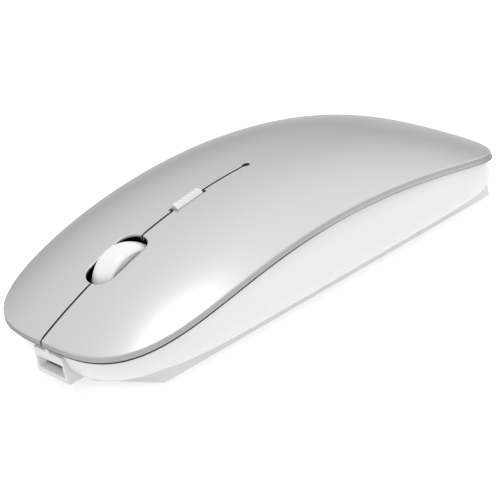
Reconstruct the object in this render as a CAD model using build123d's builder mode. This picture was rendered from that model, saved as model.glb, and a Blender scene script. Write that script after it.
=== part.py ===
"""A slim rechargeable wireless computer mouse, built as it comes apart on a bench.

Frame: millimetres, +Z up, nose towards -Y, origin on the table under the middle of the
mouse. Seen by the hand that uses it, the left button is on the +X side.
"""

from build123d import *
import math
import os

os.makedirs("parts", exist_ok=True)

# ---------------------------------------------------------------- driving dimensions
LENGTH = 113.0
HALF_WIDTH = 28.5
WIDEST_Y = -3.0  # the plan is widest a little ahead of the middle
FRONT_POWERS = (3.1, 4.6)  # squareness of the plan across and along, ahead of WIDEST_Y
REAR_POWERS = (3.7, 3.8)  # and behind it
OUTLINE_STEPS = 48

CREST_Z = 25.0  # highest point of the top shell above the table
CREST_Y = 1.2
NOSE_DROP = 13.7  # fall of the centre line from the crest to the nose
NOSE_SNAP = 0.05  # share of that fall that comes late
TAIL_DROP = 15.9
TAIL_SNAP = 0.24
SIDE_DROP = 4.8  # fall from the centre line to the side edge
SIDE_POWER = 2.7
SHELL = 1.5  # thickness of the top shell, seen as a band round its rim
EMBED = 0.8  # how deep posts and ribs are rooted in the shell
PAST_SIDE, PAST_END, PAST_TOP = 40.0, 70.0, 40.0  # limits of cutters that run right past the mouse

# Lower housing: a bowl whose wall leans in and tucks under towards the base plate
HOUSING_INSET = 1.2
HOUSING_WALL = 1.2
HOUSING_TOP_Z = 14.5  # the wall leans only below this level
HOUSING_LEAN = 0.13
SIDE_TUCK, SIDE_TUCK_SCALE = 12.3, 2.3
NOSE_TUCK, NOSE_TUCK_SCALE = 8.9, 2.1
TAIL_TUCK, TAIL_TUCK_SCALE = 8.1, 3.7
CORNER_FILL, CORNER_FILL_Z, CORNER_FILL_SCALE = 4.2, 3.8, 3.0  # the bowl's rear corners are squarer low down
HOUSING_LEVELS = (1.2, 2.0, 3.1, 4.6, 6.5, 8.8, 11.5, 14.5, 17.6, 20.8, 24.0)
BUTTON_GAP = 1.35  # gap under the buttons at the nose, closing to nothing at the hinge
SHELL_GAP = 0.06
LIP_DEPTH = 0.45  # shadow lip round the top of the housing's front half
LIP_HEIGHT = 0.6
LIP_END_Y = -19.0

# Base plate
FEET_STAND = 0.5  # the glide feet hold the base plate this far off the table
BASE_HALF_WIDTH = 19.2
BASE_FRONT_Y = -42.4
BASE_REAR_Y = 49.8
BASE_TOP_Z = 4.6
BASE_FLOOR = 1.5
BASE_WALL = 1.5
FIT_GAP = 0.08  # line gap between two mouldings of the case
WITNESS_Y = 28.0

# Charging port block at the nose
PORT_HALF_WIDTH = 5.5
PORT_TOP_HALF_WIDTH = 4.7
PORT_FRONT_Y = -55.6
PORT_BACK_Y = -49.3
PORT_ROOT_Y = -49.9  # where the base plate's cut-away front meets the block
PORT_BOTTOM_Z = 2.4
PORT_TAB_WIDTH = 1.3
PORT_TAB_BACK_Y = -54.95  # the tab's rear face, just ahead of the housing's wall
PORT_TAB_ROOT_Z = 7.5
MOUTH_HALF_WIDTH, MOUTH_Z = 4.45, (3.6, 6.35)
THROAT_HALF_WIDTH, THROAT_Z = 3.85, (3.85, 6.35)
MOUTH_DEPTH = 1.5

# Buttons, slot and holes
SLOT = 0.62
HINGE_Y = 1.0
HINGE_GAP = 0.15
KEYHOLE_R = 0.85
WHEEL_HOLE_Y = (-42.05, -27.87)
WHEEL_HOLE_HALF_WIDTH = 4.2
WHEEL_HOLE_END = 3.1  # length of its rounded ends
WHEEL_HOLE_RELIEF = 0.4
WHEEL_HOLE_LIP = 1.0

# Circuit board
BOARD_Z = 6.4
BOARD_T = 1.0
BOARD_TOP = BOARD_Z + BOARD_T
BOARD_HALF_WIDTH = 18.3
BOARD_Y = (-49.0, 3.0)

# Scroll wheel
AXLE_Y, AXLE_Z = -33.2, 13.8
TYRE_R = 7.9
TYRE_EDGE_R = 7.2
TYRE_HALF_WIDTH = 3.3
HUB_R = 5.2
HUB_HALF_WIDTH = 3.0
AXLE_R = 0.8
AXLE_HALF = 8.9
CARRIER_X = (6.4, 7.6)  # inner and outer faces of the carrier's cheeks
CARRIER_Y = (-44.6, -23.7)
CARRIER_Z = (11.4, 14.0)
GUIDE_X = (7.75, 9.4)
GUIDE_TOP = 15.5

# Switches
SWITCH_X = 15.0
SWITCH_Y = -36.0
SWITCH_SIZE = (5.8, 12.8, 6.0)
SWITCH_PLUNGER_PROUD = 0.6
TACT_SIZE = (6.0, 6.0, 3.5)
TACT_PLUNGER_PROUD = 0.45
TRAVEL = 0.3  # travel of every switch plunger
TOUCH = 0.05  # play between a plunger and what presses it
MIDDLE_SWITCH_Y = -45.9
PRESSER_Z = BOARD_TOP + TACT_SIZE[2] + TACT_PLUNGER_PROUD + TOUCH  # what presses a tactile switch

# DPI button
DPI_Y = (-18.7, -11.75)
DPI_HALF_WIDTH = 1.05
DPI_TOP_HALF_WIDTH = 0.5
DPI_PROUD = 0.85
DPI_NOTCH = 0.9  # open room ahead of the bar on one side, and behind it on the other
DPI_END_GAP = (0.15, 0.3)  # working gap at the bar's front and rear ends
DPI_SIDE_GAP = 0.12
DPI_SWITCH_Y = -15.8

# Sensor and power switch
SENSOR_Y = -4.5
POWER_X, POWER_Y = 11.0, -14.0  # knob's place at rest, switched on
POWER_TRAVEL = 2.0

# Battery, receiver, feet and screws
FOOT_LENGTH, FOOT_WIDTH = 10.5, 3.8
BATTERY = (27.0, 19.0, 5.0)
BATTERY_Y = 19.0
BATTERY_Z = 2.3
LEAD_START = (7.2, 2.4, 8.9)
LEAD_R = 0.4
RECEIVER = (14.4, 18.0, 5.8)
RECEIVER_Y = 39.25
BOSS_R, SCREW_BORE_R, SCREW_R = 2.1, 0.75, 0.74
SCREW_HEAD_R, SCREW_HEAD_Z = 1.8, (0.6, 1.4)
SHELL_BOSS_Z = 5.05  # the shell's bosses stand on the base plate's towers
SHELL_BORE_TOP, SHELL_SCREW_TOP = 12.0, 9.0
HOUSING_BOSS_Z, HOUSING_BOSS_TOP = 2.1, 6.2
HOUSING_BORE_TOP, HOUSING_SCREW_TOP = 5.6, 5.5
SHELL_BOSSES = [(-13.6, 43.0), (13.6, 43.0), (-16.2, 6.6), (16.2, 6.6)]
HOUSING_BOSSES = [(-14.8, -33.0), (14.8, -33.0)]
BOARD_POSTS = [(-10.4, -43.2), (10.4, -43.2), (-15.6, -0.6), (15.6, -0.6)]
FOOT_PLACES = [(-10.6, -41.0), (10.6, -41.0), (-13.2, 47.2), (13.2, 47.2)]


# ---------------------------------------------------------------- shared geometry
def crown(x, y):
    """Height of the top shell's outer face."""
    ahead = y < CREST_Y
    run = CREST_Y + LENGTH / 2 if ahead else LENGTH / 2 - CREST_Y
    drop, snap = (NOSE_DROP, NOSE_SNAP) if ahead else (TAIL_DROP, TAIL_SNAP)
    along = (y - CREST_Y) / run
    fall = drop * ((1 - snap) * along**2 + snap * along**4)
    return CREST_Z - fall - SIDE_DROP * abs(x / HALF_WIDTH) ** SIDE_POWER


def housing_top(x, y):
    """Height of the lower housing's rim: it leaves room for the buttons to dip."""
    button_room = BUTTON_GAP * max(0.0, (HINGE_Y - y) / (HINGE_Y + LENGTH / 2))
    return crown(x, y) - SHELL - SHELL_GAP - button_room


def lip_floor(x, y):
    """Bottom of the shadow lip, which fades out above the rim behind LIP_END_Y."""
    depth = LIP_HEIGHT * (LIP_END_Y - y) / (LIP_END_Y + LENGTH / 2)
    return housing_top(x, y) - max(depth, -LIP_HEIGHT)


def slab_below(height, thickness):
    """Solid of the given thickness hanging from the surface z = height(x, y)."""
    across = [HALF_WIDTH * 1.06 * step / 8 for step in range(-8, 9)]
    along = [LENGTH / 2 * 1.04 * step / 16 for step in range(-16, 17)]
    grid = [[Vector(x, y, height(x, y)) for y in along] for x in across]
    skin = Face.make_surface_from_array_of_points(grid, tol=0.005)
    return extrude(skin, amount=thickness, dir=(0, 0, -1), mode=Mode.PRIVATE)


def plan_radius(angle, half_width, nose_reach, tail_reach, squarer):
    """Distance from the plan's centre to its edge, for an angle measured from the nose."""
    sine, cosine = abs(math.sin(angle)), math.cos(angle)
    reach = nose_reach if cosine > 0 else tail_reach
    side_power, end_power = FRONT_POWERS if cosine > 0 else [power + squarer for power in REAR_POWERS]
    low, high = 0.0, 2 * LENGTH
    for _ in range(50):
        middle = (low + high) / 2
        across = (middle * sine / half_width) ** side_power
        inside = across + (middle * abs(cosine) / reach) ** end_power < 1
        low, high = (middle, high) if inside else (low, middle)
    return low


def plan_outline(side_inset, nose_inset, tail_inset, squarer=0.0):
    """Closed plan curve of the mouse, pulled in at the sides, nose and tail."""
    half_width = HALF_WIDTH - side_inset
    nose_reach = LENGTH / 2 + WIDEST_Y - nose_inset
    tail_reach = LENGTH / 2 - WIDEST_Y - tail_inset
    points = []
    for step in range(OUTLINE_STEPS):
        angle = 2 * math.pi * step / OUTLINE_STEPS
        radius = plan_radius(angle, half_width, nose_reach, tail_reach, squarer)
        points.append((radius * math.sin(angle), WIDEST_Y - radius * math.cos(angle)))
    knots = [step / OUTLINE_STEPS for step in range(OUTLINE_STEPS + 1)]
    return Edge.make_spline(points, periodic=True, parameters=knots)


def housing_insets(z):
    """How far the bowl is pulled in at one level: at its sides, nose and tail."""
    lean = HOUSING_LEAN * max(0.0, HOUSING_TOP_Z - z)
    side = HOUSING_INSET + lean + SIDE_TUCK * math.exp((FEET_STAND - z) / SIDE_TUCK_SCALE)
    nose = HOUSING_INSET + NOSE_TUCK * math.exp((FEET_STAND - z) / NOSE_TUCK_SCALE)
    tail = HOUSING_INSET + TAIL_TUCK * math.exp((FEET_STAND - z) / TAIL_TUCK_SCALE)
    return side, nose, tail


def bowl(inset, rise):
    """The housing's outer form, or with an inset and a rise the hollow inside it."""
    with BuildPart() as form:
        for level in HOUSING_LEVELS:
            side, nose, tail = housing_insets(level)
            squarer = CORNER_FILL * math.exp(min(0.0, (CORNER_FILL_Z - level) / CORNER_FILL_SCALE))
            with BuildSketch(Plane.XY.offset(level + rise)):
                with BuildLine():
                    add(plan_outline(side + inset, nose + inset, tail + inset, squarer))
                make_face()
        loft()
    return form.part


def outline_prism(inset, bottom, top):
    """Upright prism on the plan outline pulled in all round."""
    with BuildPart() as prism:
        with BuildSketch(Plane.XY.offset(bottom)):
            with BuildLine():
                add(plan_outline(inset, inset, inset))
            make_face()
        extrude(amount=top - bottom)
    return prism.part


def block(x, y, z):
    """Rectangular block between two limits along each axis."""
    with BuildPart() as shape:
        with BuildSketch(Plane.XY.offset(z[0])):
            with Locations(((x[0] + x[1]) / 2, (y[0] + y[1]) / 2)):
                Rectangle(x[1] - x[0], y[1] - y[0])
        extrude(amount=z[1] - z[0])
    return shape.part


def posts(places, radius, bottom, top):
    """Upright round posts at several places."""
    with BuildPart() as group:
        with BuildSketch(Plane.XY.offset(bottom)):
            with Locations(places):
                Circle(radius)
        extrude(amount=top - bottom)
    return group.part


def lip_cutter():
    """Everything outside the lip's inner line and above the lip's floor."""
    with BuildPart() as cutter:
        add(block((-PAST_SIDE, PAST_SIDE), (-PAST_END, 0), (2, PAST_TOP)))
        add(outline_prism(HOUSING_INSET + LIP_DEPTH, 1, PAST_TOP + 1), mode=Mode.SUBTRACT)
        add(slab_below(lip_floor, PAST_TOP), mode=Mode.SUBTRACT)
    return cutter.part


def base_plan(grow):
    """Plan of the base plate: square at the tail, cut away towards the port."""
    with BuildSketch() as plan:
        with BuildLine():
            Polyline(
                (BASE_HALF_WIDTH, BASE_REAR_Y),
                (BASE_HALF_WIDTH, BASE_FRONT_Y),
                (PORT_HALF_WIDTH, PORT_ROOT_Y),
                (-PORT_HALF_WIDTH, PORT_ROOT_Y),
                (-BASE_HALF_WIDTH, BASE_FRONT_Y),
                (-BASE_HALF_WIDTH, BASE_REAR_Y),
                close=True,
            )
        make_face()
        if grow:
            offset(amount=grow, kind=Kind.INTERSECTION)
    return plan.sketch


def port_prism(grow, bottom):
    """The port block before it is trimmed: its sides draw in towards the top."""
    top = 10.0
    draft = (PORT_HALF_WIDTH - PORT_TOP_HALF_WIDTH) / (top - PORT_BOTTOM_Z)
    length = PORT_BACK_Y - PORT_FRONT_Y
    with BuildPart() as prism:
        for z in (bottom, top):
            half_width = PORT_TOP_HALF_WIDTH + draft * (top - z) + grow
            with BuildSketch(Plane.XY.offset(z)):
                with Locations((0, PORT_FRONT_Y + length / 2)):
                    Rectangle(2 * half_width, length + 2 * grow)
        loft()
    return prism.part


def wheel_hole(grow):
    """Long hole with rounded ends for the wheel."""
    front, rear = WHEEL_HOLE_Y
    ends = (front + WHEEL_HOLE_END, rear - WHEEL_HOLE_END)
    with BuildSketch() as hole:
        with Locations((0, sum(ends) / 2)):
            Rectangle(2 * (WHEEL_HOLE_HALF_WIDTH + grow), ends[1] - ends[0])
        with Locations(*[(0, end) for end in ends]):
            Ellipse(WHEEL_HOLE_HALF_WIDTH + grow, WHEEL_HOLE_END + grow)
    return hole.sketch


# ---------------------------------------------------------------- case
def lower_housing():
    """White bowl round the mouse, open at the top and over the base plate."""
    with BuildPart() as lower_housing:
        add(bowl(0, 0))
        add(bowl(HOUSING_WALL, HOUSING_WALL), mode=Mode.SUBTRACT)
        add(slab_below(housing_top, PAST_TOP), mode=Mode.INTERSECT)
        add(lip_cutter(), mode=Mode.SUBTRACT)
        with BuildSketch():
            add(base_plan(FIT_GAP))
        extrude(amount=BOARD_Z, mode=Mode.SUBTRACT)
        add(port_prism(FIT_GAP, 0), mode=Mode.SUBTRACT)
        add(housing_bosses())
        bores = posts(HOUSING_BOSSES, SCREW_BORE_R, HOUSING_BOSS_Z - 0.1, HOUSING_BORE_TOP)
        add(bores, mode=Mode.SUBTRACT)
    return lower_housing.part


def housing_bosses():
    """Screw bosses inside the bowl, each on an arm from its wall."""
    with BuildPart() as arms:
        add(posts(HOUSING_BOSSES, BOSS_R, HOUSING_BOSS_Z, HOUSING_BOSS_TOP))
        for x, y in HOUSING_BOSSES:
            reach = sorted((x, math.copysign(HALF_WIDTH, x)))
            add(block(reach, (y - 1.6, y + 1.6), (BASE_TOP_Z + 0.1, HOUSING_BOSS_TOP)))
        add(bowl(HOUSING_WALL / 2, HOUSING_WALL / 2), mode=Mode.INTERSECT)
    return arms.part


def top_blank():
    """The whole curved top shell before it is parted."""
    with BuildPart() as blank:
        add(outline_prism(0, 0, CREST_Z + 5))
        add(slab_below(crown, SHELL), mode=Mode.INTERSECT)
    return blank.part


def hung_from_shell(shape):
    """Keep the part of a shape below the shell, rooted a little way into it."""
    with BuildPart() as hung:
        add(shape)
        rooted = slab_below(lambda x, y: crown(x, y) - SHELL + EMBED, PAST_TOP)
        add(rooted, mode=Mode.INTERSECT)
    return hung.part


def palm_shell(blank):
    """Rear part of the top shell, with four screw bosses."""
    with BuildPart() as palm_shell:
        add(blank)
        behind_hinge = (HINGE_Y + HINGE_GAP / 2, PAST_END)
        add(block((-PAST_SIDE, PAST_SIDE), behind_hinge, (0, PAST_TOP)), mode=Mode.INTERSECT)
        add(hung_from_shell(posts(SHELL_BOSSES, BOSS_R, SHELL_BOSS_Z, CREST_Z)))
        add(posts(SHELL_BOSSES, SCREW_BORE_R, SHELL_BOSS_Z - 0.05, SHELL_BORE_TOP), mode=Mode.SUBTRACT)
        with BuildSketch():
            with Locations((0, HINGE_Y)):
                Circle(KEYHOLE_R)
        extrude(amount=PAST_TOP, mode=Mode.SUBTRACT)
    return palm_shell.part


def wheel_hole_relief():
    """Wider cut under the wheel hole's lip."""
    with BuildPart() as relief:
        with BuildSketch():
            add(wheel_hole(WHEEL_HOLE_RELIEF))
        extrude(amount=PAST_TOP)
        add(slab_below(lambda x, y: crown(x, y) - WHEEL_HOLE_LIP, 10), mode=Mode.INTERSECT)
    return relief.part


def click_button(blank, side, notch):
    """One sprung front panel; side is +1 or -1, notch its share of the DPI hole."""
    across = sorted((side * SLOT / 2, side * PAST_SIDE))
    ahead_of_hinge = (-PAST_END, HINGE_Y - HINGE_GAP / 2)
    rib_x = (side * SWITCH_X - 1.5, side * SWITCH_X + 1.5)
    rib_y = (SWITCH_Y - 1.3, SWITCH_Y + 1.3)
    rib_bottom = BOARD_TOP + SWITCH_SIZE[2] + SWITCH_PLUNGER_PROUD + TOUCH
    with BuildPart() as panel:
        add(blank)
        add(block(across, ahead_of_hinge, (0, PAST_TOP)), mode=Mode.INTERSECT)
        with BuildSketch():
            add(wheel_hole(0))
            with Locations((0, HINGE_Y)):
                Circle(KEYHOLE_R)
            with Locations((0, (notch[0] + notch[1]) / 2)):
                Rectangle(2 * (DPI_HALF_WIDTH + DPI_SIDE_GAP), notch[1] - notch[0])
        extrude(amount=PAST_TOP, mode=Mode.SUBTRACT)
        add(wheel_hole_relief(), mode=Mode.SUBTRACT)
        add(hung_from_shell(block(rib_x, rib_y, (rib_bottom, CREST_Z))))
    return panel.part


def base_plate():
    """Floor pan with the port block, board posts, screw towers and receiver pocket."""
    with BuildPart() as base_plate:
        with BuildSketch(Plane.XY.offset(FEET_STAND)):
            add(base_plan(0))
        extrude(amount=BASE_TOP_Z - FEET_STAND)
        with BuildSketch(Plane.XY.offset(FEET_STAND + BASE_FLOOR)):
            add(base_plan(-BASE_WALL))
        extrude(amount=20, mode=Mode.SUBTRACT)
        add(port_block())
        add(port_chamber(), mode=Mode.SUBTRACT)
        add(port_mouth(), mode=Mode.SUBTRACT)
        add(posts(BOARD_POSTS, 1.9, FEET_STAND + 1, BOARD_Z))
        add(posts(BOARD_POSTS, 0.6, 3, BOARD_Z + 1), mode=Mode.SUBTRACT)
        add(posts(SHELL_BOSSES, BOSS_R + 0.3, FEET_STAND, SHELL_BOSS_Z - 0.05))
        add(receiver_pocket_walls())
        add(base_cuts(), mode=Mode.SUBTRACT)
    return base_plate.part


def port_block():
    """Block at the nose that holds the charging port, flush with the bowl round it."""
    half_tab = PORT_TAB_WIDTH / 2
    with BuildPart() as port:
        add(port_prism(0, PORT_BOTTOM_Z))
        add(lip_cutter(), mode=Mode.SUBTRACT)
        add(block((-half_tab, half_tab), (PORT_FRONT_Y, PORT_TAB_BACK_Y), (PORT_TAB_ROOT_Z, 12)))
        add(slab_below(housing_top, 30), mode=Mode.INTERSECT)
    return port.part


def port_chamber():
    """Room inside the block for the charging socket and the board's nose."""
    half_width = THROAT_HALF_WIDTH + 0.1
    front = PORT_FRONT_Y + MOUTH_DEPTH
    return block((-half_width, half_width), (front, BASE_FRONT_Y - 0.6), (THROAT_Z[0] - 0.05, 8))


def port_mouth():
    """Funnel that leads a plug into the port."""
    openings = (
        (-PORT_FRONT_Y + 0.01, MOUTH_HALF_WIDTH, MOUTH_Z),
        (-PORT_FRONT_Y - MOUTH_DEPTH, THROAT_HALF_WIDTH, THROAT_Z),
    )
    with BuildPart() as mouth:
        for forward, half_width, (low, high) in openings:
            with BuildSketch(Plane.XZ.offset(forward)):
                with Locations((0, (low + high) / 2)):
                    Rectangle(2 * half_width, high - low)
        loft()
    return mouth.part


def receiver_pocket_walls():
    """Box inside the base plate round the stored receiver."""
    half_width, half_length = RECEIVER[0] / 2 + 1.45, RECEIVER[1] / 2 + 1.45
    y = (RECEIVER_Y - half_length, RECEIVER_Y + half_length)
    return block((-half_width, half_width), y, (FEET_STAND, FEET_STAND + RECEIVER[2] + 1.4))


def base_cuts():
    """Openings and recesses of the base plate."""
    floor = FEET_STAND - 0.01
    half_width, half_length = RECEIVER[0] / 2 + 0.25, RECEIVER[1] / 2 + 0.25
    pocket_y = (RECEIVER_Y - half_length, RECEIVER_Y + half_length)
    with BuildPart() as cuts:
        add(block((-half_width, half_width), pocket_y, (floor, FEET_STAND + RECEIVER[2] + 0.4)))
        add(posts([(0, RECEIVER_Y - half_length)], 3.0, floor, FEET_STAND + 1.2))
        add(posts(SHELL_BOSSES + HOUSING_BOSSES, 1.0, floor, 6))
        add(posts(SHELL_BOSSES + HOUSING_BOSSES, SCREW_HEAD_R + 0.2, floor, SCREW_HEAD_Z[1]))
        with BuildSketch(Plane.XY.offset(floor)):
            with Locations((0, SENSOR_Y)):
                SlotOverall(10.0, 6.5)
            with Locations((POWER_X, POWER_Y + POWER_TRAVEL / 2)):
                Rectangle(2.4, 2.2 + POWER_TRAVEL + 0.6)
        extrude(amount=3)
        with BuildSketch(Plane.XY.offset(floor)):
            with Locations((POWER_X, POWER_Y + POWER_TRAVEL / 2)):
                RectangleRounded(4.6, 4.4 + POWER_TRAVEL + 0.8, 1.0)
        extrude(amount=0.71)
        with BuildSketch(Plane.XY.offset(floor)):
            with Locations(*FOOT_PLACES):
                SlotOverall(FOOT_LENGTH + 0.2, FOOT_WIDTH + 0.2)
        extrude(amount=0.31)
        for x in (-BASE_HALF_WIDTH, BASE_HALF_WIDTH):
            add(block((x - 0.15, x + 0.15), (WITNESS_Y, WITNESS_Y + 0.2), (floor, 6)))
    return cuts.part


def glide_feet():
    """Low-friction pads let into the base plate; the mouse stands on them."""
    with BuildPart() as glide_feet:
        with BuildSketch():
            with Locations(*FOOT_PLACES):
                SlotOverall(FOOT_LENGTH, FOOT_WIDTH)
        extrude(amount=FEET_STAND + 0.3)
        fillet(glide_feet.edges().group_by(Axis.Z)[0], 0.2)
    return glide_feet.part


def case_screws():
    """Screws up through the base plate into the shell and the bowl."""
    with BuildPart() as case_screws:
        add(posts(SHELL_BOSSES + HOUSING_BOSSES, SCREW_HEAD_R, *SCREW_HEAD_Z))
        add(posts(SHELL_BOSSES, SCREW_R, SCREW_HEAD_Z[1], SHELL_SCREW_TOP))
        add(posts(HOUSING_BOSSES, SCREW_R, SCREW_HEAD_Z[1], HOUSING_SCREW_TOP))
        add(screw_crosses(SHELL_BOSSES + HOUSING_BOSSES, SCREW_HEAD_Z[0]), mode=Mode.SUBTRACT)
    return case_screws.part


def screw_crosses(places, face):
    """Cross recesses, sunk upward from a downward screw face."""
    with BuildPart() as crosses:
        with BuildSketch(Plane.XY.offset(face - 0.01)):
            with Locations(*places):
                Rectangle(2.0, 0.45)
                Rectangle(0.45, 2.0)
        extrude(amount=0.45)
    return crosses.part


# ---------------------------------------------------------------- circuit board
def circuit_board():
    """Board under the wheel and the switches, with cut-outs for wheel and sensor."""
    front, rear = BOARD_Y
    wheel_cut = (AXLE_Y - 5.2, AXLE_Y + 5.2)
    with BuildPart() as circuit_board:
        with BuildSketch(Plane.XY.offset(BOARD_Z)):
            with BuildLine():
                Polyline(
                    (BOARD_HALF_WIDTH, rear),
                    (BOARD_HALF_WIDTH, front + 6.5),
                    (BOARD_HALF_WIDTH - 5.5, front),
                    (3.7, front),
                    (3.7, front - 3.6),
                    (-3.7, front - 3.6),
                    (-3.7, front),
                    (-BOARD_HALF_WIDTH + 5.5, front),
                    (-BOARD_HALF_WIDTH, front + 6.5),
                    (-BOARD_HALF_WIDTH, rear),
                    close=True,
                )
            make_face()
        extrude(amount=BOARD_T)
        add(block((-4.1, 4.1), wheel_cut, (BOARD_Z - 1, BOARD_TOP + 1)), mode=Mode.SUBTRACT)
        add(block((-3.2, 3.2), (SENSOR_Y - 2.4, SENSOR_Y + 2.4), (BOARD_Z - 1, BOARD_TOP + 1)),
            mode=Mode.SUBTRACT)
        add(posts(BOARD_POSTS, 0.9, BOARD_Z - 1, BOARD_TOP + 1), mode=Mode.SUBTRACT)
        for side in (-1, 1):
            add(click_switch_pins(side, 0.15), mode=Mode.SUBTRACT)
    return circuit_board.part


def board_screws():
    """Pan-head screws that hold the board to the base plate."""
    with BuildPart() as board_screws:
        add(posts(BOARD_POSTS, 1.6, BOARD_TOP, BOARD_TOP + 1.0))
        fillet(board_screws.edges().group_by(Axis.Z)[-1], 0.4)
        add(posts(BOARD_POSTS, 0.59, 3.2, BOARD_TOP))
        add(screw_crosses(BOARD_POSTS, BOARD_TOP + 0.7), mode=Mode.SUBTRACT)
    return board_screws.part


def click_switch_pins(side, grow):
    """Three soldered pins of a micro switch, or with grow the holes for them."""
    x, middle = side * SWITCH_X, SWITCH_Y + 2.0
    with BuildPart() as pins:
        with BuildSketch(Plane.XY.offset(BOARD_TOP - 0.9 - grow)):
            with Locations(*[(x, middle + step) for step in (-5.1, 0, 5.1)]):
                Rectangle(0.8 + 2 * grow, 0.6 + 2 * grow)
        extrude(amount=0.9 + grow)
    return pins.part


def click_switch(side):
    """Micro switch under a main button, with its pressed-in moulding lines."""
    x = side * SWITCH_X
    width, length, height = SWITCH_SIZE
    middle = SWITCH_Y + 2.0
    with BuildPart() as click_switch:
        with BuildSketch(Plane.XY.offset(BOARD_TOP)):
            with Locations((x, middle)):
                Rectangle(width, length)
        extrude(amount=height)
        chamfer(click_switch.edges().group_by(Axis.Z)[-1], 0.4)
        add(block((x - 3, x + 3), (middle - 7, middle - 6.2), (BOARD_TOP + 2.2, BOARD_TOP + 2.5)),
            mode=Mode.SUBTRACT)
        add(block((x - 0.75, x + 0.75), (SWITCH_Y - 1.45, SWITCH_Y + 1.45),
                  (BOARD_TOP + height - 1.5, BOARD_TOP + height + 1)), mode=Mode.SUBTRACT)
        add(click_switch_pins(side, 0))
    return click_switch.part


def click_switch_plunger(side):
    """Small plunger of a micro switch."""
    x = side * SWITCH_X
    top = BOARD_TOP + SWITCH_SIZE[2] + SWITCH_PLUNGER_PROUD
    with BuildPart() as plunger:
        add(block((x - 0.6, x + 0.6), (SWITCH_Y - 1.3, SWITCH_Y + 1.3), (top - 1.6, top)))
        fillet(plunger.edges().group_by(Axis.Z)[-1], 0.2)
    return plunger.part


def tact_switch(y):
    """Square tactile switch on the middle line of the board."""
    width, length, height = TACT_SIZE
    with BuildPart() as tact_switch:
        with BuildSketch(Plane.XY.offset(BOARD_TOP)):
            with Locations((0, y)):
                Rectangle(width, length)
        extrude(amount=height)
        chamfer(tact_switch.edges().filter_by(Axis.Z), 0.5)
        add(posts([(0, y)], 1.8, BOARD_TOP + height - 1.2, BOARD_TOP + height + 1),
            mode=Mode.SUBTRACT)
    return tact_switch.part


def tact_plunger(y):
    """Round plunger of a tactile switch."""
    top = BOARD_TOP + TACT_SIZE[2] + TACT_PLUNGER_PROUD
    with BuildPart() as plunger:
        add(posts([(0, y)], 1.65, top - 1.25, top))
        fillet(plunger.edges().group_by(Axis.Z)[-1], 0.2)
    return plunger.part


def usb_receptacle():
    """Metal shell of the charging socket, hung under the front of the board."""
    high = BOARD_Z - 0.03
    low = high - 2.45
    front = PORT_FRONT_Y + MOUTH_DEPTH + 0.1
    with BuildPart() as usb_receptacle:
        for wall, back, kind in ((0.0, 5.4, Mode.ADD), (0.25, 4.6, Mode.SUBTRACT)):
            with BuildSketch(Plane.XZ.offset(-front)):
                with BuildLine():
                    Polyline(
                        (3.75 - wall, high - wall),
                        (3.75 - wall, low + 1.0),
                        (2.9 - wall / 2, low + wall),
                        (-2.9 + wall / 2, low + wall),
                        (-3.75 + wall, low + 1.0),
                        (-3.75 + wall, high - wall),
                        close=True,
                    )
                make_face()
            extrude(amount=-back, mode=kind)
    return usb_receptacle.part


def usb_tongue():
    """Contact tongue inside the charging socket."""
    front = PORT_FRONT_Y + MOUTH_DEPTH + 0.6
    back = PORT_FRONT_Y + MOUTH_DEPTH + 0.1 + 4.6
    top = BOARD_Z - 0.03 - 0.25
    with BuildPart() as usb_tongue:
        add(block((-2.6, 2.6), (front, back), (top - 1.15, top - 0.35)))
        add(block((-2.8, 2.8), (back - 2.4, back), (top - 1.9, top - 0.02)))
    return usb_tongue.part


def sensor_chip():
    """Optical sensor on top of the board, looking down through its window."""
    with BuildPart() as sensor_chip:
        add(block((-4.9, 4.9), (SENSOR_Y - 4.2, SENSOR_Y + 4.2), (BOARD_TOP + 0.1, BOARD_TOP + 2.6)))
        chamfer(sensor_chip.edges().group_by(Axis.Z)[-1], 0.3)
        for row in range(-2, 3):
            y = SENSOR_Y + 1.6 * row
            add(block((-5.6, 5.6), (y - 0.25, y + 0.25), (BOARD_TOP, BOARD_TOP + 0.9)))
    return sensor_chip.part


def sensor_lens():
    """Clear lens plate between the sensor and the window in the base plate."""
    floor = FEET_STAND + BASE_FLOOR
    legs = [(x, SENSOR_Y + y) for x in (-5.6, 5.6) for y in (-5.4, 5.4)]
    with BuildPart() as sensor_lens:
        add(block((-6.6, 6.6), (SENSOR_Y - 6.4, SENSOR_Y + 6.4), (3.6, 4.8)))
        fillet(sensor_lens.edges().filter_by(Axis.Z), 1.0)
        add(posts(legs, 0.8, floor, 3.6))
        add(posts([(0, SENSOR_Y)], 1.9, 2.4, 6.2))
        fillet(sensor_lens.edges().group_by(Axis.Z)[-1], 0.6)
    return sensor_lens.part


def sensor_lamp():
    """Small lamp behind the sensor that lights the surface under the mouse."""
    with BuildPart() as sensor_lamp:
        with BuildSketch(Plane.XZ.offset(-2.7)):
            with Locations((0, BOARD_TOP + 1.5)):
                Circle(1.3)
        extrude(amount=2.0)
        fillet(sensor_lamp.edges().group_by(Axis.Y)[0], 0.6)
        for x in (-0.7, 0.7):
            add(block((x - 0.2, x + 0.2), (2.1, 2.5), (BOARD_TOP, BOARD_TOP + 1.2)))
    return sensor_lamp.part


def power_switch():
    """Body of the slide switch under the board."""
    with BuildPart() as power_switch:
        add(block((POWER_X - 2.1, POWER_X + 2.1),
                  (POWER_Y + POWER_TRAVEL / 2 - 4.4, POWER_Y + POWER_TRAVEL / 2 + 4.4),
                  (2.6, BOARD_Z)))
        chamfer(power_switch.edges().group_by(Axis.Z)[0], 0.25)
        add(block((POWER_X - 1.1, POWER_X + 1.1),
                  (POWER_Y - 1.3, POWER_Y + POWER_TRAVEL + 1.3), (2, 4.6)), mode=Mode.SUBTRACT)
    return power_switch.part


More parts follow.
